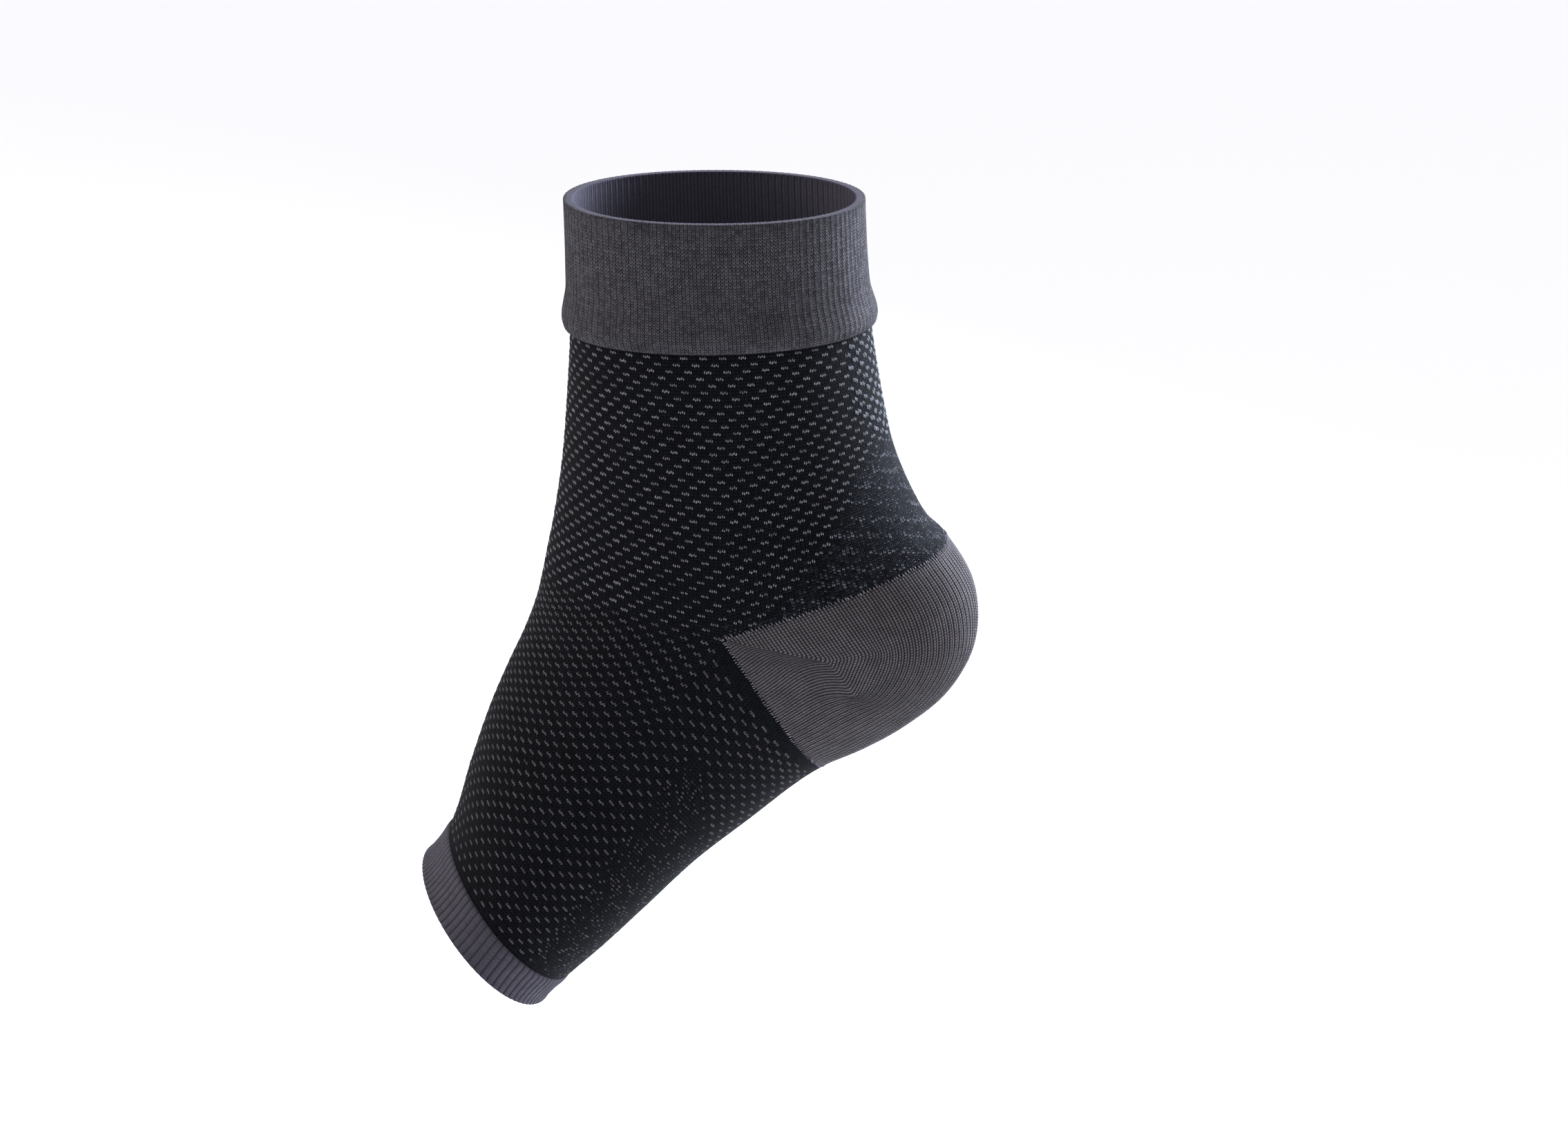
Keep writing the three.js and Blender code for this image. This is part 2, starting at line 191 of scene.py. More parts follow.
class Run:
    """A smooth run of numbers through rows, one row at each position."""

    def __init__(self, positions, rows):
        self.positions = np.array(positions, float)
        self.rows = np.array(rows, float)

    def at(self, position):
        spots = self.positions
        rows = self.rows
        last = len(spots) - 1
        position = min(max(position, spots[0]), spots[last])
        i = int(np.clip(np.searchsorted(spots, position, side="right"), 1, last))
        step = spots[i] - spots[i - 1]
        p = (position - spots[i - 1]) / step
        before = rows[i - 2] if i > 1 else rows[i]
        after = rows[i + 1] if i < last else rows[i - 1]
        gap_before = spots[i - 1] - spots[i - 2] if i > 1 else step
        gap_after = spots[i + 1] - spots[i] if i < last else step
        a = 0.5 * step / gap_before
        b = 0.5 * step / gap_after
        weight_before = -a * p**3 + 2 * a * p**2 - a * p
        weight_start = (1 + a) * p**3 + (-1.5 - 2 * a) * p**2 + (a - 0.5) * p + 1
        weight_end = (-1 - b) * p**3 + (1.5 + b) * p**2 + 0.5 * p
        weight_after = b * p**3 - b * p**2
        return (
            weight_before * before
            + weight_start * rows[i - 1]
            + weight_end * rows[i]
            + weight_after * after
        )


def foot_place(along, across):
    """The place (x, z) of a point on the foot, from its shares along and across it."""
    drop = math.radians(FOOT_DROP)
    x = -math.cos(drop) * along * FOOT_REACH + math.sin(drop) * across * FOOT_DEPTH
    z = -math.sin(drop) * along * FOOT_REACH - math.cos(drop) * across * FOOT_DEPTH
    return (x, z)


LEG_STATIONS = [-row[0] * LEG_RISE for row in LEG]
FOOT_STATIONS = [row[0] * FOOT_REACH for row in FOOT]
HEEL_TURN = (UPPER_SEAM - LOWER_SEAM) / (len(HEEL) - 1)
HEEL_ARC = HEEL_REACH * math.radians(UPPER_SEAM - LOWER_SEAM)

front_of_leg = [
    (mid * ANKLE_DEPTH, up * LEG_RISE, -front * ANKLE_DEPTH, (up + lift) * LEG_RISE)
    + (half * ANKLE_WIDTH, full, 0.0)
    for up, mid, front, lift, _, _, half, full, _ in LEG
]
front_of_gore = (
    (0.0, 0.0, -GORE[2] * ANKLE_DEPTH, GORE[3] * LEG_RISE)
    + (GORE[4] * ANKLE_WIDTH, GORE[5], 0.0)
)
front_of_foot = [
    (*foot_place(row[0], row[1]), *foot_place(row[2], row[3]))
    + (row[6] * FOOT_WIDTH, row[7], row[9] * FOOT_WIDTH)
    for row in FOOT
]
FRONT = Run([*LEG_STATIONS, 0.0, *FOOT_STATIONS], [*front_of_leg, front_of_gore, *front_of_foot])

back_of_leg = [(row[4] * ANKLE_DEPTH, (row[0] + row[5]) * LEG_RISE, row[8], 0.0) for row in LEG]
back_of_heel = []
for i, (reach, full) in enumerate(HEEL):
    slope = math.radians(UPPER_SEAM - HEEL_TURN * i)
    distance = reach * HEEL_REACH
    back_of_heel.append((distance * math.cos(slope), distance * math.sin(slope), full, 0.0))
back_of_foot = [(*foot_place(row[4], row[5]), row[8], row[10]) for row in FOOT]
heel_stations = [HEEL_ARC * i / (len(HEEL) - 1) for i in range(len(HEEL))]
BACK = Run(
    [*LEG_STATIONS, *heel_stations, *[HEEL_ARC + station for station in FOOT_STATIONS]],
    [*back_of_leg, *back_of_heel, *back_of_foot],
)


def half_section(reach, half, full, crest, arch, columns):
    """Half a section, from one side point to the other in equal steps: places and outward normals."""
    turn = np.linspace(-math.pi / 2, math.pi / 2, FINE_STEPS + 1)
    share = np.clip(np.cos(turn), 0, 1) ** (2 / full)
    share[[0, -1]] = 0
    side = np.sign(np.sin(turn)) * np.abs(np.sin(turn)) ** (2 / full)
    inner = np.maximum(0, side)
    lift = 1 - arch * ARCH_SCALE * inner**2 * (1 - inner)
    fine = np.stack([share * reach * lift, side * half + crest * share], axis=1)
    steps = np.linalg.norm(np.diff(fine, axis=0), axis=1)
    lengths = np.concatenate([[0], np.cumsum(steps)])
    normals = np.zeros_like(fine)
    along = fine[2:] - fine[:-2]
    normals[1:-1] = np.stack([along[:, 1], -along[:, 0]], axis=1)
    normals[0] = (0, -1)
    normals[-1] = (0, 1)
    normals /= np.linalg.norm(normals, axis=1)[:, None]
    wanted = np.linspace(0, lengths[-1], columns + 1)
    place = np.stack([np.interp(wanted, lengths, fine[:, k]) for k in (0, 1)], axis=1)
    normal = np.stack([np.interp(wanted, lengths, normals[:, k]) for k in (0, 1)], axis=1)
    normal /= np.linalg.norm(normal, axis=1)[:, None]
    return place, normal, lengths[-1]


def place_half(place, normal, hinge, end):
    """Puts a half section into space, between the side points at hinge and its middle at end."""
    out = (end - hinge) / np.linalg.norm(end - hinge)
    across = [hinge[k] + place[:, 0] * out[k] for k in (0, 1)]
    points = np.stack([across[0], place[:, 1], across[1]], axis=1)
    normals = np.stack([normal[:, 0] * out[0], normal[:, 1], normal[:, 0] * out[1]], axis=1)
    return points, normals


def front_half(station, columns):
    """The front half of a course, from the outer side point round the front to the inner one."""
    row = FRONT.at(station)
    hinge = row[0:2]
    end = row[2:4]
    place, normal, _ = half_section(np.linalg.norm(end - hinge), row[4], row[5], row[6], 0, columns)
    return place_half(place, normal, hinge, end)


def back_half(station, back_station, columns):
    """The back half of a course, from the inner side point round the back to the outer one."""
    row = FRONT.at(station)
    back = BACK.at(back_station)
    hinge = row[0:2]
    end = back[0:2]
    place, normal, _ = half_section(np.linalg.norm(end - hinge), row[4], back[2], 0, back[3], columns)
    points, normals = place_half(place, normal, hinge, end)
    return points[::-1], normals[::-1]


def course(station, columns, below_gore=False):
    """A whole course of the tube: points and normals in twice columns steps, back to the first one."""
    back_station = HEEL_ARC + station if station > 0 or below_gore else station
    front_points, front_normals = front_half(station, columns)
    back_points, back_normals = back_half(station, back_station, columns)
    points = np.concatenate([front_points[:-1], back_points])
    normals = np.concatenate([front_normals[:-1], back_normals])
    return points, normals


class Cloth:
    """Collects four-sided faces. Each corner has its place in the knitting, in wales and courses."""

    def __init__(self):
        self.points = []
        self.faces = []
        self.knit = []
        self.finish = []
        self.count = 0

    def grid(self, points, knit, finish=0):
        """Faces over rows of points, with one finish or one for each face. The first row is the upper
        one on an outer face."""
        points = np.asarray(points)
        knit = np.asarray(knit)
        rows, columns = points.shape[:2]
        number = np.arange(rows * columns).reshape(rows, columns)
        corners = [
            (slice(0, -1), slice(0, -1)),
            (slice(0, -1), slice(1, None)),
            (slice(1, None), slice(1, None)),
            (slice(1, None), slice(0, -1)),
        ]
        faces = np.stack([number[corner] for corner in corners], axis=-1).reshape(-1, 4)
        places = np.stack([knit[corner] for corner in corners], axis=-2).reshape(-1, 4, 2)
        self.points.append(points.reshape(-1, 3))
        self.faces.append(faces + self.count)
        self.knit.append(places)
        self.finish.append(np.broadcast_to(np.ravel(finish), len(faces)))
        self.count += rows * columns

    def make(self, name, materials):
        """One mesh object in metres, with coinciding corners joined."""
        mesh = bpy.data.meshes.new(name)
        points = np.concatenate(self.points) / 1000
        faces = np.concatenate(self.faces)
        mesh.from_pydata(points.tolist(), [], faces.tolist())
        layer = mesh.uv_layers.new(name="knit")
        layer.data.foreach_set("uv", np.concatenate(self.knit).astype(np.float32).ravel())
        mesh.polygons.foreach_set("material_index", np.concatenate(self.finish).astype(np.int32))
        for material in materials:
            mesh.materials.append(material)
        work = bmesh.new()
        work.from_mesh(mesh)
        bmesh.ops.remove_doubles(work, verts=work.verts, dist=1e-7)
        for face in work.faces:
            face.smooth = True
        work.to_mesh(mesh)
        work.free()
        piece = bpy.data.objects.new(name, mesh)
        bpy.context.collection.objects.link(piece)
        return piece


# One filament is 0.02 mm thick, too fine to show, so the yarn's grain is drawn as bundles.
FIBRE_BUNDLE = 0.25
NYLON_IOR = 1.53


def rgb(code):
    """A colour for a shader socket from sRGB hex."""
    parts = [int(code[i : i + 2], 16) / 255 for i in (1, 3, 5)]
    linear = [c / 12.92 if c <= 0.04045 else ((c + 0.055) / 1.055) ** 2.4 for c in parts]
    return (*linear, 1.0)


def add_node(tree, kind, settings=None, **inputs):
    """Adds a node. settings are its own properties, and inputs its sockets by name or _number.

    An input may be a value, a socket, or another node, which stands for that node's first output.
    """
    node = tree.nodes.new(kind)
    for name, value in (settings or {}).items():
        setattr(node, name, value)
    for name, value in inputs.items():
        socket = node.inputs[int(name[1:])] if name[0] == "_" else node.inputs[name.replace("_", " ")]
        if isinstance(value, bpy.types.Node):
            value = value.outputs[0]
        if isinstance(value, bpy.types.NodeSocket):
            tree.links.new(value, socket)
        else:
            socket.default_value = value
    return node


def stitch_height(tree, place, split, lean, hollow):
    """The height of the yarn in a knit, 0 in the holes and 1 on the stitches' legs.

    place counts wales in x and courses in y. Each stitch is a V of two legs. split is how far the legs
    of a V stand apart, 1 for evenly, lean how many courses a leg climbs across half a wale, and hollow
    how deep the dips are from one stitch to the next.
    """
    spot = add_node(tree, "ShaderNodeSeparateXYZ", _0=place)
    wale = add_node(tree, "ShaderNodeMath", {"operation": "FRACT"}, _0=spot.outputs[0])
    centred = add_node(tree, "ShaderNodeMath", {"operation": "SUBTRACT"}, _0=wale, _1=0.5)
    off = add_node(tree, "ShaderNodeMath", {"operation": "ABSOLUTE"}, _0=centred)
    turn = add_node(tree, "ShaderNodeMath", {"operation": "MULTIPLY"}, _0=off, _1=4 * math.pi)
    wave = add_node(tree, "ShaderNodeMath", {"operation": "COSINE"}, _0=turn)
    legs = add_node(tree, "ShaderNodeMapRange", Value=wave, From_Min=1.0, From_Max=-1.0)
    chain = add_node(tree, "ShaderNodeMapRange", Value=off, From_Min=0.5, From_Max=0.28)
    across = add_node(tree, "ShaderNodeMix", Factor=split, A=chain, B=legs)
    soft = add_node(tree, "ShaderNodeMath", {"operation": "POWER"}, _0=across, _1=0.7)
    climb = add_node(tree, "ShaderNodeMath", {"operation": "MULTIPLY"}, _0=off, _1=2 * lean)
    rise = add_node(tree, "ShaderNodeMath", {"operation": "SUBTRACT"}, _0=spot.outputs[1], _1=climb)
    swing = add_node(tree, "ShaderNodeMath", {"operation": "MULTIPLY"}, _0=rise, _1=2 * math.pi)
    row = add_node(tree, "ShaderNodeMath", {"operation": "COSINE"}, _0=swing)
    dip = add_node(tree, "ShaderNodeMapRange", Value=row, From_Min=-1.0, To_Min=1 - hollow)
    return add_node(tree, "ShaderNodeMath", {"operation": "MULTIPLY"}, _0=soft, _1=dip)


def knit_finish(
    name, yarn, light_yarn, hole_and_shade, wales=1, split=1.0, lean=1.2, hollow=0.75,
    roughness=0.85, relief_mm=0.3, patch_mm=5.0, uneven=0.25,
):
    """A knitted cloth. wales is how many wales lie in each one of the knit map, and patch_mm how wide
    the lighter and darker patches are. uneven shifts the stitches, and makes single ones lighter or
    darker."""
    material = bpy.data.materials.new(name)
    material.use_nodes = True
    tree = material.node_tree
    tree.nodes.clear()
    knit = add_node(tree, "ShaderNodeUVMap", {"uv_map": "knit"})
    middle = (0.5 if wales > 1 else 0.0, 0.0, 0.0)
    place = add_node(
        tree, "ShaderNodeVectorMath", {"operation": "MULTIPLY_ADD"},
        _0=knit, _1=(wales, 1.0, 1.0), _2=middle,
    )
    wander = add_node(tree, "ShaderNodeTexNoise", Vector=place, Scale=0.9, Detail=1.0)
    shift = add_node(
        tree, "ShaderNodeVectorMath", {"operation": "MULTIPLY_ADD"},
        _0=wander.outputs["Color"], _1=(uneven, 2 * uneven, 0.0), _2=place,
    )
    height = stitch_height(tree, shift, split, lean, hollow)
    single = add_node(tree, "ShaderNodeTexWhiteNoise", {"noise_dimensions": "2D"})
    cell = add_node(tree, "ShaderNodeVectorMath", {"operation": "FLOOR"}, _0=shift)
    tree.links.new(cell.outputs[0], single.inputs["Vector"])
    thing = add_node(tree, "ShaderNodeTexCoord")
    patch = add_node(
        tree, "ShaderNodeTexNoise", Vector=thing.outputs["Object"], Scale=1000 / patch_mm, Detail=3.0
    )
    fibre = add_node(
        tree, "ShaderNodeTexNoise", Vector=thing.outputs["Object"], Scale=1000 / FIBRE_BUNDLE,
        Detail=2.0,
    )
    calm = add_node(
        tree, "ShaderNodeMapRange", Value=patch, From_Min=0.2, From_Max=0.8, To_Min=0.3, To_Max=0.7
    )
    own = add_node(
        tree, "ShaderNodeMath", {"operation": "MULTIPLY_ADD"}, _0=single, _1=2 * uneven, _2=-uneven
    )
    tone = add_node(tree, "ShaderNodeMath", {"operation": "ADD", "use_clamp": True}, _0=own, _1=calm)
    blend = add_node(
        tree, "ShaderNodeMix", {"data_type": "RGBA"}, _0=tone, _6=rgb(yarn), _7=rgb(light_yarn)
    )
    # The holes and the dips between stitches take the hole colour: painted shade in the hollows, where
    # the bump casts no shadow, laid over the real gaps of the knit.
    colour = add_node(
        tree, "ShaderNodeMix", {"data_type": "RGBA"}, _0=height, _6=rgb(hole_and_shade), _7=blend.outputs[2]
    )
    grain = add_node(
        tree, "ShaderNodeMath", {"operation": "MULTIPLY_ADD"}, _0=fibre, _1=0.25, _2=height
    )
    bump = add_node(tree, "ShaderNodeBump", Distance=relief_mm / 1000, Height=grain)
    shader = add_node(tree, "ShaderNodeBsdfPrincipled", Base_Color=colour.outputs[2], Normal=bump)
    shader.inputs["Roughness"].default_value = roughness
    shader.inputs["IOR"].default_value = NYLON_IOR
    shader.inputs["Specular IOR Level"].default_value = 0.05
    add_node(tree, "ShaderNodeOutputMaterial", _0=shader)
    return material


def yarn_finish(name, dark, light, patch_mm=2.4):
    """Yarn of loose filaments on the raised stitches, in patches of dark and light."""
    material = bpy.data.materials.new(name)
    material.use_nodes = True
    tree = material.node_tree
    tree.nodes.clear()
    thing = add_node(tree, "ShaderNodeTexCoord")
    patch = add_node(
        tree, "ShaderNodeTexNoise", Vector=thing.outputs["Object"], Scale=1000 / patch_mm, Detail=2.0
    )
    spread = add_node(tree, "ShaderNodeMapRange", Value=patch, From_Min=0.3, From_Max=0.7)
    fibre = add_node(
        tree, "ShaderNodeTexNoise", Vector=thing.outputs["Object"], Scale=1000 / FIBRE_BUNDLE,
        Detail=2.0,
    )
    colour = add_node(
        tree, "ShaderNodeMix", {"data_type": "RGBA"}, _0=spread, _6=rgb(dark), _7=rgb(light)
    )
    bump = add_node(tree, "ShaderNodeBump", Distance=0.0001, Height=fibre)
    shader = add_node(tree, "ShaderNodeBsdfPrincipled", Base_Color=colour.outputs[2], Normal=bump)
    shader.inputs["Roughness"].default_value = 0.6
    shader.inputs["IOR"].default_value = NYLON_IOR
    shader.inputs["Specular IOR Level"].default_value = 0.15
    add_node(tree, "ShaderNodeOutputMaterial", _0=shader)
    return material


# In each knit below, the last colour darkens the holes and the dips between the stitches: painted shade
# in the hollows, over the real gaps of the knit.
# Nylon and elastane, circular knitted in near-black yarn: dull, with navy lights on its stitches.
black_nylon = knit_finish(
    "black nylon plain knit", "#0c0d11", "#1b1d24", "#020203", split=0.6, lean=0.6, hollow=0.9,
    uneven=0.3, roughness=0.9,
)
# The black yarn with a fine grey one laid over it above the heel: the single stitches look speckled.
plated_nylon = knit_finish(
    "black and grey nylon plated knit", "#0d0e12", "#2b2e36", "#030304", split=0.6, lean=0.6,
    hollow=0.9, uneven=0.5, roughness=0.9,
)
# The same yarns in grey, knitted one by one as a rib: V stitches on the ribs and between them.
grey_rib = knit_finish(
    "grey nylon one by one rib", "#423f43", "#7e7b81", "#0a0a0d", wales=2, split=0.7, lean=0.9,
    hollow=0.9,
)
# The inner face of the rib and of the tube, which only stray light reaches. Its flat grey-violet, the
# same for every inner face and far lighter than the black yarn, is painted light for the dim light
# inside, partly coming through the thin cloth.
inside_painted_light = knit_finish(
    "inner face with painted light", "#42404a", "#4c4a54", "#333139", hollow=0.4, roughness=0.9,
    relief_mm=0.1,
)
# Grey plain knit stretched open over the heel: its stitches' legs stand apart as even light lines.
heel_grey = knit_finish(
    "grey nylon stretched plain knit", "#4d494b", "#7d787b", "#060607", lean=0.25, hollow=0.6,
    uneven=0.1,
)
# Grey rib of the toe band: broad round ribs with soft dark valleys, painted shade in the hollows, and a
# fine grain.
band_grey = knit_finish(
    "grey nylon band rib", "#35333a", "#4e4b53", "#28262d", split=0.0, lean=0.4, hollow=0.2,
    uneven=0.1,
)
# Textured grey yarn floated on to the black ground: soft, matt and a little uneven.
pale_yarn = yarn_finish("textured pale grey nylon yarn", "#464448", "#77757a")
# The same yarn on the instep and the sole, in darker colours.
foot_yarn = yarn_finish("darker grey nylon yarn", "#343235", "#545154")
# The finer grey yarn over the heel, which shows as dots between the black stitches.
fine_yarn = yarn_finish("fine blue-grey nylon yarn", "#303239", "#696c74")
# The pale yarn in loose tufts over the Achilles tendon, fluffy and a little cooler.
tuft_yarn = yarn_finish("loose pale grey nylon tufts", "#414449", "#6b6f74")
# Grey heel yarn at the seams, where its last stitches reach into the black.
seam_yarn = yarn_finish("grey nylon seam stitches", "#4c494f", "#75717a")


def body_of_sleeve():
    """The black leg and foot: one tube from under the cuff to the toe band, open for the heel."""
    top = -LEG_RISE + CUFF_HEIGHT - CUFF_OVERLAP
    end = FOOT_REACH - BAND_LENGTH
    cloth = Cloth()
    wales = np.arange(2 * HALF_WALES + 1, dtype=float)
    rng = np.random.default_rng(3)
    outer_rows = {"leg": 86, "foot": 100}
    inner_rows = 30
    black, inside, plated = range(3)  # the finishes, in the order that cloth.make takes them

    def places(stations):
        return [np.stack([wales, np.full_like(wales, -s / COURSE)], axis=1) for s in stations]

    def face(stations, below_gore, proud):
        frames = [course(s, HALF_WALES, below_gore) for s in stations]
        return [points + proud * normals for points, normals in frames]

    leg = np.linspace(top, 0, outer_rows["leg"])
    foot = np.linspace(0, end, outer_rows["foot"])
    for stations, below_gore in ((leg, False), (foot, True)):
        rows = face(stations, below_gore, 0)
        finish = []
        for station, row in zip(stations[:-1], rows):
            strewn = row + rng.normal(0, PLATING_STRAY, row.shape)  # the grey yarn comes in by stitches
            zones = [stitch_zone(station, wale, strewn[wale], 0) for wale in range(2 * HALF_WALES)]
            finish.append([plated if zone == "dots" else black for zone in zones])
        cloth.grid(rows, places(stations), finish)
        sparse = stations[np.linspace(0, len(stations) - 1, inner_rows).round().astype(int)][::-1]
        cloth.grid(face(sparse, below_gore, -WALL), places(sparse), inside)

    def edge(station, below_gore, span, outer_first):
        points, normals = course(station, HALF_WALES, below_gore)
        outer = points[span]
        inner = outer - WALL * normals[span]
        knit = places([station])[0][span]
        pair = [outer, inner] if outer_first else [inner, outer]
        cloth.grid(pair, [knit, knit], black)

    whole = slice(0, 2 * HALF_WALES + 1)
    back = slice(HALF_WALES, 2 * HALF_WALES + 1)
    edge(top, False, whole, False)
    edge(end, True, whole, True)
    edge(0.0, False, back, True)
    edge(0.0, True, back, False)
    return cloth.make("body_knit_tube", [black_nylon, inside_painted_light, plated_nylon])


def rib_wave(columns, ribs, depth):
    """How far each column of a course sinks between ribs, with each rib a round ridge."""
    phase = np.arange(2 * columns + 1) / (2 * columns) * ribs
    ridge = 0.5 - 0.5 * np.cos(2 * math.pi * phase)
    return -depth * (1 - ridge**0.7)


def ribbed_ring(cloth, profile, ribs, columns, depth, course_mm):
    """A ring of ribbed cloth. profile goes round its section: station, proud, rib share, finish."""
    wave = rib_wave(columns, ribs, depth)
    count = np.linspace(0, ribs, 2 * columns + 1)
    rows = []
    lengths = [0.0]
    for i, (station, proud, rib, _) in enumerate(profile):
        points, normals = course(station, columns)
        rows.append(points + normals * (proud + wave * rib)[:, None])
        if i:
            step = math.hypot(station - profile[i - 1][0], proud - profile[i - 1][1])
            lengths.append(lengths[-1] + step)
    knit = [np.stack([count, np.full_like(count, -length / course_mm)], axis=1) for length in lengths]
    for i in range(len(profile) - 1):
        cloth.grid(rows[i : i + 2], knit[i : i + 2], profile[i][3])


def cuff():
    """The grey rib: up inside, over the rim and down outside to the rolled lip."""
    rim = -LEG_RISE
    lip = rim + CUFF_HEIGHT
    seat = lip - CUFF_OVERLAP - SEAM_GAP
    middle = (CUFF_LAYER - WALL) / 2
    radius = (CUFF_LAYER + WALL) / 2
    face = Run(
        [0.04, *[row[0] for row in CUFF_FACE]],
        [(0.96, 0.0), *[row[1:] for row in CUFF_FACE]],
    )
    profile = []
    for turn in np.linspace(math.pi / 10, math.pi, 10):
        inside = 1 if turn < 0.6 * math.pi else 0
        place = (rim + radius * (1 - math.sin(turn)), middle - radius * math.cos(turn))
        profile.append((*place, 1.0, inside))
    for down in np.linspace(0.06, 0.975, 38):
        layer, roll = face.at(down)
        profile.append((rim + CUFF_HEIGHT * down, CUFF_LAYER * layer + CUFF_BULGE * roll, 1.0, 0))
    profile.append((lip - 0.25, SEAM_GAP + CUFF_LAYER * 0.75, 1.0, 0))
    profile.append((lip, SEAM_GAP + CUFF_LAYER / 3, 0.5, 0))
    profile.append((lip - CUFF_LAYER / 3, SEAM_GAP, 0.0, 0))
    profile.append((seat, SEAM_GAP, 0.0, 1))
    profile.append((seat, -WALL, 0.0, 1))
    for station in np.linspace(seat - 1, rim + radius + 1, 12):
        profile.append((station, -WALL, -0.7, 1))
    profile.append(profile[0])
    cloth = Cloth()
    ribbed_ring(cloth, profile, HALF_WALES, HALF_WALES * RIB_STEPS // 2, CUFF_RELIEF, CUFF_COURSE)
    return cloth.make("cuff_rib_fold", [grey_rib, inside_painted_light])


def toe_band():
    """The ribbed ring round the open end, flared a little."""
    start = FOOT_REACH - BAND_LENGTH + SEAM_GAP
    length = BAND_LENGTH - SEAM_GAP
    face = Run([row[0] for row in BAND_FACE], [row[1:] for row in BAND_FACE])
    profile = []
    for down in np.linspace(0, 1, 16):
        rib, flare = face.at(down)
        proud = BAND_PROUD * rib + BAND_FLARE * flare
        profile.append((start + length * down, proud, min(1, 12 * down), 0))
    for down in np.linspace(1, 0, 8):
        rib, flare = face.at(down)
        proud = BAND_PROUD * rib + BAND_FLARE * flare - WALL
        profile.append((start + length * down, proud, -0.4, 1))
    profile.append(profile[0])
    cloth = Cloth()
    ribbed_ring(cloth, profile, TOE_RIBS, TOE_RIBS * RIB_STEPS // 2, BAND_RELIEF, BAND_COURSE)
    return cloth.make("toe_rib_band", [band_grey, inside_painted_light])


def heel_wall(rows, columns):
    """The heel's outer face in rows from seam to seam: points, outward normals and half lengths."""
    half = FRONT.at(0.0)[4]
    arc_per_radian = HEEL_ARC / math.radians(UPPER_SEAM - LOWER_SEAM)
    points = []
    normals = []
    lengths = []
    for share in np.linspace(0, 1, rows + 1):
        end_x, end_z, full, _ = BACK.at(HEEL_ARC * share)
        place, normal, length = half_section(math.hypot(end_x, end_z), half, full, 0, 0, 2 * columns)
        distance = np.maximum(place[:, 0], GORE_TIP)
        inset = np.arcsin(SEAM_GAP / distance) * arc_per_radian
        spots = inset + (HEEL_ARC - 2 * inset) * share
        ends = np.array([BACK.at(spot)[:2] for spot in spots])
        out = ends / np.linalg.norm(ends, axis=1)[:, None]
        points.append(np.stack([distance * out[:, 0], place[:, 1], distance * out[:, 1]], axis=1))
        turned = normal[:, :1] * out
        normals.append(np.stack([turned[:, 0], normal[:, 1], turned[:, 1]], axis=1))
        lengths.append(length / 2)
    return np.array(points), np.array(normals), np.array(lengths)


def on_plane(distance, slope):
    """A place (x, z) from its distance and slope, seen from the gore."""
    angle = math.radians(slope)
    return distance * np.array([math.cos(angle), math.sin(angle)])


def wale_path(wale, upper_length, lower_length):
    """A kinked wale's way from seam to seam, as places (x, z) on the side as if it were unrolled."""
    share = wale / HEEL_WALES
    kinks = []
    for table in (UPPER_KINKS, LOWER_KINKS):
        counts, distances, slopes = zip(*table)
        kinks.append(on_plane(np.interp(wale, counts, distances), np.interp(wale, counts, slopes)))
    start = on_plane(upper_length * share, UPPER_SEAM)
    end = on_plane(lower_length * share, LOWER_SEAM)
    reach = PULL * np.linalg.norm(kinks[1] - end)
    leave = np.interp(wale, *zip(*KINK_LEAVE))
    pull = (kinks[1] - on_plane(reach, leave), end + on_plane(reach, SQUARE_LEAVE))
    upper, middle, lower = [np.linspace(0, 1, steps + 1)[:, None] for steps in PATH_STEPS]
    last = (
        (1 - lower) ** 3 * kinks[1]
        + 3 * (1 - lower) ** 2 * lower * pull[0]
        + 3 * (1 - lower) * lower**2 * pull[1]
        + lower**3 * end
    )
    first = start + upper * (kinks[0] - start)
    between = kinks[0] + middle * (kinks[1] - kinks[0])
    return np.concatenate([first, between[1:], last[1:]])


def heel_wales(lengths):
    """All the wales' ways over one side of the heel: shares down it and back along it."""
    wales = np.arange(HEEL_WALES * RIB_STEPS + 1) / RIB_STEPS
    kinked = UPPER_KINKS[-1][0]
    down = []
    back = []
    for wale in wales:
        path = wale_path(min(max(wale, 0.05), kinked), lengths[0], lengths[-1])
        slope = np.degrees(np.arctan2(path[:, 1], path[:, 0]))
        share = np.clip((UPPER_SEAM - slope) / (UPPER_SEAM - LOWER_SEAM), 0, 1)
        length = np.interp(share, np.linspace(0, 1, len(lengths)), lengths)
        bulge = np.linalg.norm(path, axis=1) / length - min(wale, kinked) / HEEL_WALES
        fade = min(1, (HEEL_WALES - wale) / (HEEL_WALES - kinked))
        even = np.linspace(0, 1, len(path))
        down.append(share * fade + even * (1 - fade))
        back.append(wale / HEEL_WALES + bulge * fade)
    down = np.array(down)
    back = np.array(back)
    for step in range(SMOOTHINGS):
        kept = kinked + ROUNDED_AFTER * (step / SMOOTHINGS) ** 0.6
        loose = wales > (0 if step < KINKS_SOFTENED else kept)
        for values in (down, back):
            far = values[loose]
            values[loose, 1:-1] = (far[:, :-2] + 2 * far[:, 1:-1] + far[:, 2:]) / 4
    back[0] = 0
    return wales, down[:, ::2], np.clip(back[:, ::2], 0, 1)


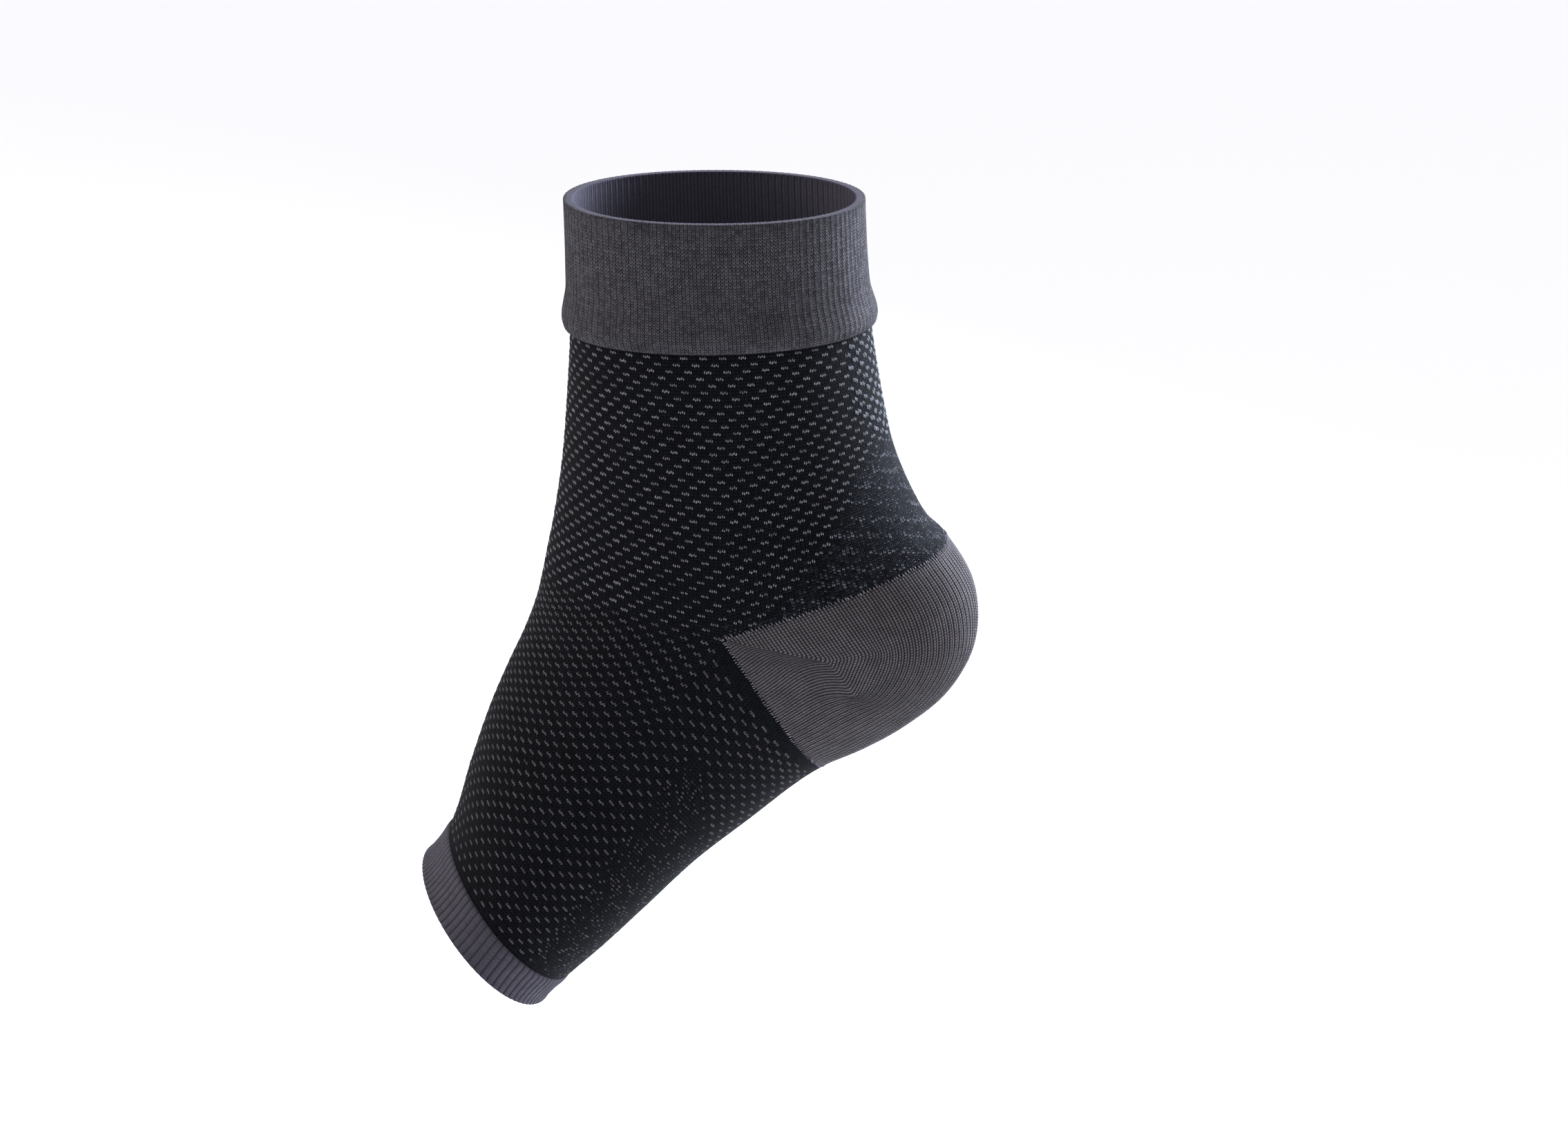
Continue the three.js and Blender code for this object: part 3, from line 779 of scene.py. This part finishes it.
def heel_pocket():
    """The grey turned heel, a mesh along its wales from the upper seam round to the lower one."""
    rows = 72
    columns = 80
    points, normals, lengths = heel_wall(rows, columns)
    wales, down, back = heel_wales(lengths)

    def read(table, side):
        spot_row = np.clip(down * rows, 0, rows - 1e-6)
        spot_column = columns + side * columns * (1 - back)
        spot_column = np.clip(spot_column, 0, 2 * columns - 1e-6)
        row = spot_row.astype(int)
        column = spot_column.astype(int)
        part_row = (spot_row - row)[..., None]
        part_column = (spot_column - column)[..., None]
        upper = table[row, column] * (1 - part_column) + table[row, column + 1] * part_column
        lower = table[row + 1, column] * (1 - part_column) + table[row + 1, column + 1] * part_column
        return upper * (1 - part_row) + lower * part_row

    cloth = Cloth()
    wave = rib_wave(len(wales) - 1, 2 * HEEL_WALES, HEEL_RELIEF)[: len(wales)]
    sides = []
    for side in (1, -1):
        face = read(points, side)
        normal = read(normals, side)
        ribbed = np.clip((wales - 12) / 10, 0.25, 1)  # near the gore the legs of a stitch spread apart
        relief = (wave * ribbed)[:, None] * np.clip(np.minimum(down, 1 - down) * 25, 0, 1)
        outer = face + normal * relief[..., None]
        steps = np.linalg.norm(np.diff(face, axis=1), axis=2)
        along = np.concatenate([np.zeros((len(wales), 1)), np.cumsum(steps, axis=1)], axis=1)
        count = np.repeat(wales[:, None], down.shape[1], axis=1)
        knit = np.stack([count if side > 0 else 2 * HEEL_WALES - count, -along / HEEL_COURSE], axis=2)
        inner = face - WALL * normal
        inner_distance = np.linalg.norm(inner[..., [0, 2]], axis=2)
        inner[..., [0, 2]] *= np.maximum(1, GORE_TIP / inner_distance)[..., None]
        if side < 0:
            outer, inner, knit = outer[::-1], inner[::-1], knit[::-1]
        sides.append((outer, inner, knit))
    outer, inner, knit = [
        np.concatenate([near, far[1:]]).swapaxes(0, 1) for near, far in zip(sides[0], sides[1])
    ]
    cloth.grid(outer, knit, 0)
    cloth.grid(inner[::-1], knit[::-1], 1)
    cloth.grid([inner[:, 0], outer[:, 0]], [knit[:, 0]] * 2, 0)
    cloth.grid([outer[:, -1], inner[:, -1]], [knit[:, -1]] * 2, 0)
    cloth.grid([inner[0], outer[0]], [knit[0]] * 2, 0)
    cloth.grid([outer[-1], inner[-1]], [knit[-1]] * 2, 0)
    return cloth.make("heel_knit_pocket", [heel_grey, inside_painted_light])


# A stitch's two legs, in millimetres at size 1: each one's length, width and height, how far apart they
# stand, how much higher the right one sits, and the degrees by which both lean to the left.
STITCH_FORM = {
    "Leg Length": 0.95,
    "Leg Width": 0.43,
    "Leg Height": 0.34,
    "Spread": 0.52,
    "Climb": 0.2,
    "Lean": 8.0,
}
# Where the other stitches differ from that.
TUFT_FORM = {"Leg_Length": 1.15, "Leg_Width": 0.6, "Leg_Height": 0.55, "Climb": 0.3, "Lean": -12.0}
FOOT_FORM = {"Leg_Length": 0.9, "Leg_Width": 0.52}
SEAM_FORM = {"Leg_Width": 0.42, "Climb": 0.0, "Lean": 0.0}
HALF_MM = 0.0005
SEAM_REACH = 0.4  # millimetres on each side of a seam between which its stitches' direction is taken


def stitch_tree(name, material):
    """Geometry Nodes that set a stitch of two legs on every point, by its own up, out and size."""
    tree = bpy.data.node_groups.new(name, "GeometryNodeTree")
    interface = tree.interface
    interface.new_socket("Places", in_out="INPUT", socket_type="NodeSocketGeometry")
    for label, value in STITCH_FORM.items():
        socket = interface.new_socket(label, in_out="INPUT", socket_type="NodeSocketFloat")
        socket.default_value = value
    interface.new_socket("Stitches", in_out="OUTPUT", socket_type="NodeSocketGeometry")
    given = add_node(tree, "NodeGroupInput").outputs
    ball = add_node(tree, "GeometryNodeMeshIcoSphere", Radius=HALF_MM, Subdivisions=1)
    size = add_node(
        tree, "ShaderNodeCombineXYZ", X=given["Leg Width"], Y=given["Leg Length"], Z=given["Leg Height"]
    )
    join = add_node(tree, "GeometryNodeJoinGeometry")
    turn = add_node(tree, "ShaderNodeMath", {"operation": "RADIANS"}, _0=given["Lean"])
    turned = add_node(tree, "ShaderNodeCombineXYZ", Z=turn)
    offset = add_node(tree, "ShaderNodeCombineXYZ", X=given["Spread"], Y=given["Climb"])
    for side in (-1, 1):
        place = add_node(
            tree, "ShaderNodeVectorMath", {"operation": "SCALE"}, _0=offset, Scale=side * HALF_MM
        )
        leg = add_node(
            tree, "GeometryNodeTransform",
            Geometry=ball, Translation=place, Rotation=turned, Scale=size,
        )
        tree.links.new(leg.outputs[0], join.inputs[0])  # the join takes several links on one socket
    read = {}
    for name, kind in (("up", "FLOAT_VECTOR"), ("out", "FLOAT_VECTOR"), ("size", "FLOAT")):
        node = add_node(tree, "GeometryNodeInputNamedAttribute", {"data_type": kind}, Name=name)
        read[name] = node.outputs[0]
    axes = add_node(
        tree, "FunctionNodeAxesToRotation", {"primary_axis": "Z", "secondary_axis": "Y"},
        _0=read["out"], _1=read["up"],
    )
    scatter = add_node(
        tree, "GeometryNodeInstanceOnPoints",
        Points=given["Places"], Instance=join, Rotation=axes, Scale=read["size"],
    )
    real = add_node(tree, "GeometryNodeRealizeInstances", Geometry=scatter)
    smooth = add_node(tree, "GeometryNodeSetShadeSmooth", Geometry=real)
    coated = add_node(tree, "GeometryNodeSetMaterial", Geometry=smooth, Material=material)
    add_node(tree, "NodeGroupOutput", _0=coated)
    return tree


def stitches(name, tree, places, ups, outs, sizes, **inputs):
    """A plain mesh of stitches at the places, in millimetres."""
    mesh = bpy.data.meshes.new(name + "_places")
    mesh.from_pydata((np.array(places) / 1000).tolist(), [], [])
    for attribute, values in (("up", ups), ("out", outs)):
        layer = mesh.attributes.new(attribute, "FLOAT_VECTOR", "POINT")
        layer.data.foreach_set("vector", np.array(values, np.float32).ravel())
    layer = mesh.attributes.new("size", "FLOAT", "POINT")
    layer.data.foreach_set("value", np.array(sizes, np.float32))
    points = bpy.data.objects.new(name + "_places", mesh)
    bpy.context.collection.objects.link(points)
    modifier = points.modifiers.new("stitches", "NODES")
    modifier.node_group = tree
    for item in tree.interface.items_tree:
        value = inputs.get(item.name.replace(" ", "_"))
        if item.in_out == "INPUT" and value is not None:
            modifier[item.identifier] = value
    graph = bpy.context.evaluated_depsgraph_get()
    made = bpy.data.meshes.new_from_object(points.evaluated_get(graph), depsgraph=graph)
    made.name = name
    bpy.data.objects.remove(points)
    piece = bpy.data.objects.new(name, made)
    bpy.context.collection.objects.link(piece)
    return piece


def stitch_zone(station, wale, place, reach_share):
    """Which zone of the pattern a stitch lies in: pair, tuft, dots, specks or bare."""
    x, _, z = place
    if wale < HALF_WALES:
        return "pair"
    from_back = abs(wale + 0.5 - 1.5 * HALF_WALES)
    if station < 0:
        if z > TUFT_FOOT and from_back < np.interp(z, [TUFT_FOOT, TUFT_FOOT + TUFT_RISE], TUFT_SPREAD):
            return "tuft"
        edge_x = [point[0] for point in DOTS_EDGE]
        edge_z = [point[1] for point in DOTS_EDGE]
        return "dots" if z < np.interp(x, edge_x, edge_z) else "pair"
    if station < BARE_STRIP:
        return "bare"
    below_tip = ARCH_APEX[1] - z
    in_wedge = below_tip > 0 and ARCH_APEX[0] - ARCH_FRONT * below_tip < x < ARCH_BACK
    return "specks" if in_wedge or reach_share > SOLE_SPECKS else "pair"


def knit_pattern():
    """Places of the pale stitches. Pairs of wales lie on every second course, each row shifted. Dots
    lie on every course, in bright rows that dip towards the back."""
    top = -LEG_RISE + CUFF_HEIGHT - 1.0
    end = FOOT_REACH - BAND_LENGTH - 0.5
    groups = {"leg": [], "instep": [], "sole": [], "tufts": [], "dots": []}
    rng = np.random.default_rng(7)
    for count in range(math.ceil(top / COURSE), math.floor(end / COURSE) + 1):
        station = count * COURSE
        row = count // 2
        points, _ = course(station, HALF_WALES, station >= 0)
        above, _ = course(station - COURSE / 2, HALF_WALES, station - COURSE / 2 >= 0)
        below, _ = course(station + COURSE / 2, HALF_WALES, station + COURSE / 2 >= 0)
        hinge = points[0]
        far = points[3 * HALF_WALES // 2]
        reach = np.linalg.norm((far - hinge)[[0, 2]])
        slide = FOOT_SLIDE * max(0, row)
        for wale in range(2 * HALF_WALES):
            at_back = wale >= HALF_WALES
            if at_back and abs(station) < COURSE:
                continue
            place = points[wale] + (0.5 + slide % 1) * (points[wale + 1] - points[wale])
            share = np.dot((place - hinge)[[0, 2]], (far - hinge)[[0, 2]]) / reach**2
            zone = stitch_zone(station, wale, place, share)
            beat = (wale - ROW_SHIFT * row - math.floor(slide)) % PATTERN_WALES
            paired = count % 2 == 0 and beat < 2
            level = place[2] - DOT_DIP * abs(place[1])
            band = math.floor(level / DOT_ROW * len(DOT_BANDS)) % len(DOT_BANDS)
            dots_kept, *dot_sizes = DOT_BANDS[band]
            keep = {
                "pair": paired,
                "tuft": paired,
                "dots": rng.random() < dots_kept,
                "specks": rng.random() < SPECKS_KEPT,
                "bare": False,
            }[zone]
            if not keep:
                continue
            up = (above[wale] + above[wale + 1] - below[wale] - below[wale + 1]) / 2
            along = points[wale + 1] - points[wale]
            out = np.cross(along, up)
            out /= np.linalg.norm(out)
            up /= np.linalg.norm(up)
            along /= np.linalg.norm(along)
            up = up + rng.normal(0, STITCH_TURN) * along
            low, high = dot_sizes if zone == "dots" else STITCH_SIZES[zone]
            size = rng.uniform(low, high)
            if zone == "pair":
                near = max(0, 1 - math.dist(place[[0, 2]], THIN_PAIRS) / THIN_REACH)
                size *= 1 - THIN_SHARE * near
                size *= np.interp(station, [0, SHRINK_LENGTH], [1, FOOT_SHRINK])
            if zone == "tuft":
                across, down = TUFT_STRAY
                place = place + rng.normal(0, across) * along + rng.normal(0, down) * up
            group = "leg" if station < 0 else "sole" if at_back else "instep"
            group = {"tuft": "tufts", "dots": "dots", "specks": "sole"}.get(zone, group)
            groups[group].append((place + STITCH_LIFT * out, up, out, size))
    return groups


def seam_places(station, back_station, pitch):
    """Stitches across a seam at the back of the heel: every pitch along it, half on each side."""
    halves = [back_half(station, back_station + s, 400)[0] for s in (-SEAM_REACH, SEAM_REACH)]
    middle = (halves[0] + halves[1]) / 2
    steps = np.linalg.norm(np.diff(middle, axis=0), axis=1)
    lengths = np.concatenate([[0], np.cumsum(steps)])
    count = int(round(lengths[-1] / pitch))
    entries = []
    rng = np.random.default_rng(11)
    for spot in (np.arange(count) + 0.5) * lengths[-1] / count:
        i = int(np.searchsorted(lengths, spot))
        up = halves[0][i] - halves[1][i]
        out = np.cross(middle[i] - middle[i - 1], up)
        if np.linalg.norm(out) < 1e-9 or np.linalg.norm(up) < 1e-9:
            continue
        out /= np.linalg.norm(out)
        up /= np.linalg.norm(up)
        entries.append((middle[i] + rng.normal(0, 0.12) * up, up, out, rng.uniform(0.9, 1.1)))
    return entries


body = body_of_sleeve()
cuff_piece = cuff()
heel = heel_pocket()
band = toe_band()

pale_stitch = stitch_tree("pale stitches", pale_yarn)
tuft_stitch = stitch_tree("tufts", tuft_yarn)
fine_stitch = stitch_tree("fine dots", fine_yarn)
foot_stitch = stitch_tree("foot stitches", foot_yarn)
seam_stitch = stitch_tree("seam stitches", seam_yarn)
kinds = {
    "leg": (pale_stitch, {}),
    "instep": (foot_stitch, FOOT_FORM),
    "sole": (foot_stitch, FOOT_FORM),
    "tufts": (tuft_stitch, TUFT_FORM),
    "dots": (fine_stitch, {}),
}
pattern_pieces = []
for group, entries in knit_pattern().items():
    places, ups, outs, sizes = zip(*entries)
    tree, form = kinds[group]
    pattern_pieces.append(stitches("pattern_stitches_" + group, tree, places, ups, outs, sizes, **form))
# name, station, back station, pitch, leg length, spread
seams = (
    ("heel_upper_seam", 0.0, 0.0, UPPER_WALE, 1.15, 0.93),
    ("heel_lower_seam", 0.0, HEEL_ARC, LOWER_WALE, 1.05, 0.82),
)
for name, station, back_station, pitch, length, width in seams:
    places, ups, outs, sizes = zip(*seam_places(station, back_station, pitch))
    piece = stitches(
        name, seam_stitch, places, ups, outs, sizes, Leg_Length=length, Spread=width, **SEAM_FORM
    )
    pattern_pieces.append(piece)

for piece, node, slot in (
    (body, "sleeve_body", "body_knit"),
    (cuff_piece, "ankle_cuff", "cuff_rib"),
    (heel, "heel_pocket", "heel_knit"),
    (band, "toe_band", "band_rib"),
):
    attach(piece, "root")
    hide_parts(node)
for piece in pattern_pieces:
    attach(piece, "root")


def studio():
    """A pale floor well below the held-up sleeve, and soft light, brighter behind and at the right."""
    reach = 12.0
    drop = -0.5
    mesh = bpy.data.meshes.new("floor")
    corners = [(-reach, -reach), (reach, -reach), (reach, reach), (-reach, reach)]
    corners = [(x, y, drop) for x, y in corners]
    mesh.from_pydata(corners, [], [(0, 1, 2, 3)])
    floor = bpy.data.objects.new("floor", mesh)
    bpy.context.collection.objects.link(floor)
    paper = bpy.data.materials.new("white paper sweep")
    paper.use_nodes = True
    shader = paper.node_tree.nodes["Principled BSDF"]
    shader.inputs["Base Color"].default_value = rgb("#f2f2f2")
    shader.inputs["Roughness"].default_value = 0.9
    mesh.materials.append(paper)
    world = bpy.data.worlds.new("soft room")
    world.use_nodes = True
    tree = world.node_tree
    tree.nodes.clear()
    direction = add_node(tree, "ShaderNodeTexCoord").outputs["Generated"]
    sides = add_node(tree, "ShaderNodeSeparateXYZ", _0=direction)
    bright = add_node(
        tree, "ShaderNodeMapRange", Value=sides.outputs[1],
        From_Min=-0.7, From_Max=0.7, To_Min=0.6, To_Max=1.6,
    )
    light = add_node(tree, "ShaderNodeBackground", Color=rgb("#fbfbff"), Strength=bright.outputs[0])
    add_node(tree, "ShaderNodeOutputWorld", Surface=light.outputs[0])
    bpy.context.scene.world = world
    lamps = (
        ("right_softbox", (0.9, 0.7, 0.5), 0.9, 90.0, "#e4eeff"),
        ("left_softbox", (-1.1, 0.2, 0.65), 0.9, 12.0, "#fff6f2"),
    )
    for name, place, size, power, colour in lamps:
        light = bpy.data.lights.new(name, "AREA")
        light.shape = "DISK"
        light.size = size
        light.energy = power
        light.color = rgb(colour)[:3]
        lamp = bpy.data.objects.new(name, light)
        lamp.location = place
        lamp.rotation_euler = (-Vector(place)).to_track_quat("-Z", "Y").to_euler()
        bpy.context.collection.objects.link(lamp)


def camera():
    """The camera at the photo's angle: level with its view, 17 degrees down, from 1.2 m."""
    lens = bpy.data.cameras.new("camera")
    lens.lens = 100.16
    lens.sensor_width = 36
    eye = bpy.data.objects.new("camera", lens)
    eye.location = (0.0167, -1.14757, 0.36268)
    eye.rotation_euler = (math.radians(73), 0, 0)
    bpy.context.collection.objects.link(eye)
    bpy.context.scene.camera = eye


studio()
camera()
bpy.context.scene.view_settings.view_transform = "Standard"
